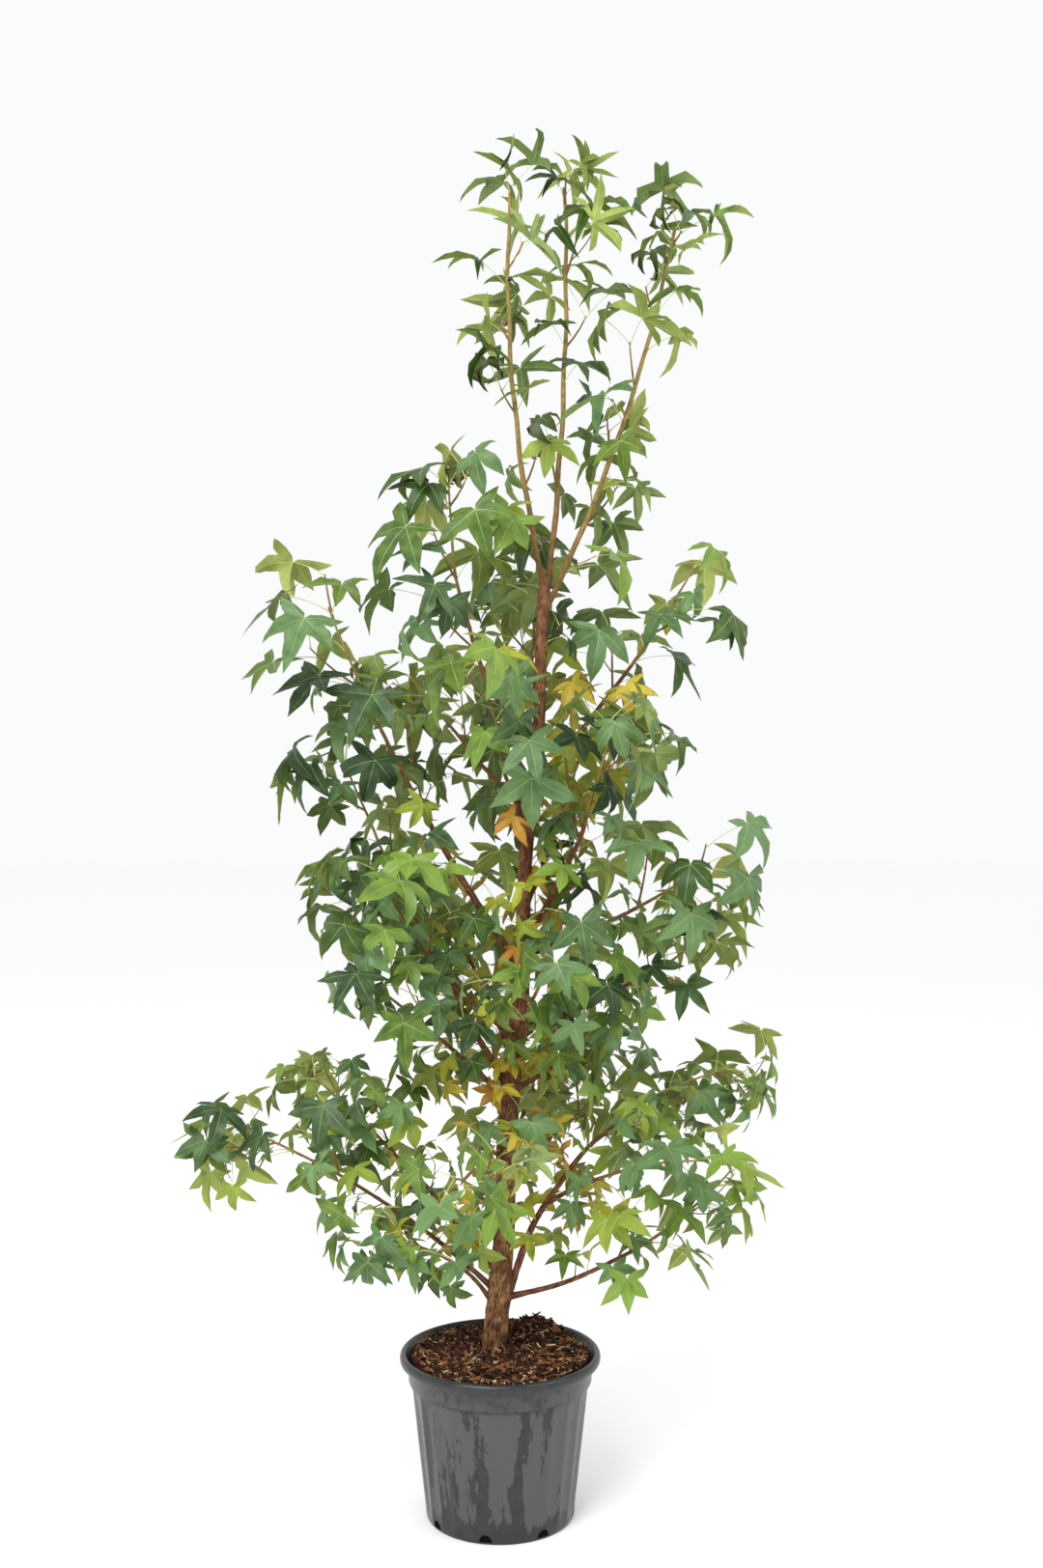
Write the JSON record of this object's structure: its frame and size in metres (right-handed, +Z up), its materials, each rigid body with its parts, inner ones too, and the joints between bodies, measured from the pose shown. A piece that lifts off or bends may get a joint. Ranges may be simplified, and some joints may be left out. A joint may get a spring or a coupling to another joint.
{
  "type": "potted sweetgum tree",
  "caption": "Young sweetgum tree with several leaders, feathered boughs and star-shaped leaves, standing in a round plastic nursery pot filled with bark mulch.",
  "frame": {"origin": "centre of the flat underside of the pot", "axes": "+Z up along the tree; +X to the right-hand side of the tree and -Y to its front, the side that a viewer faces"},
  "size_m": [1.2443, 0.9984, 2.7715],
  "materials": {
    "pot": "satin moulded plastic with dusty water marks",
    "mulch": "moist bark chips and fine compost",
    "bark": "furrowed red-brown bark, smoother and greener on young wood",
    "leaf": "thin satin leaf, blue-green to yellow-green with some autumn yellow"
  },
  "bodies": {
    "root": {"pot": "pot", "mulch": "mulch", "trunk": "bark", "leader_left": "bark", "leader_middle": "bark", "leader_right": "bark", "bough_back_1": "bark", "bough_back_2": "bark", "bough_back_3": "bark", "bough_back_4": "bark", "bough_front_1": "bark", "bough_front_2": "bark", "bough_front_3": "bark", "bough_left_1": "bark", "bough_left_2": "bark", "bough_left_3": "bark", "bough_left_4": "bark", "bough_left_5": "bark", "bough_left_6": "bark", "bough_left_7": "bark", "bough_left_8": "bark", "bough_left_9": "bark", "bough_right_1": "bark", "bough_right_2": "bark", "bough_right_3": "bark", "bough_right_4": "bark", "bough_right_5": "bark", "bough_right_6": "bark", "bough_right_7": "bark", "bough_right_8": "bark", "bough_right_9": "bark", "foliage_back_1": "leaf", "foliage_back_2": "leaf", "foliage_back_3": "leaf", "foliage_back_4": "leaf", "foliage_front_1": "leaf", "foliage_front_2": "leaf", "foliage_front_3": "leaf", "foliage_leader_left": "leaf", "foliage_leader_middle": "leaf", "foliage_leader_right": "leaf", "foliage_left_1": "leaf", "foliage_left_2": "leaf", "foliage_left_3": "leaf", "foliage_left_4": "leaf", "foliage_left_5": "leaf", "foliage_left_6": "leaf", "foliage_left_7": "leaf", "foliage_left_8": "leaf", "foliage_left_9": "leaf", "foliage_right_1": "leaf", "foliage_right_2": "leaf", "foliage_right_3": "leaf", "foliage_right_4": "leaf", "foliage_right_5": "leaf", "foliage_right_6": "leaf", "foliage_right_7": "leaf", "foliage_right_8": "leaf", "foliage_right_9": "leaf"}
  },
  "joints": []
}
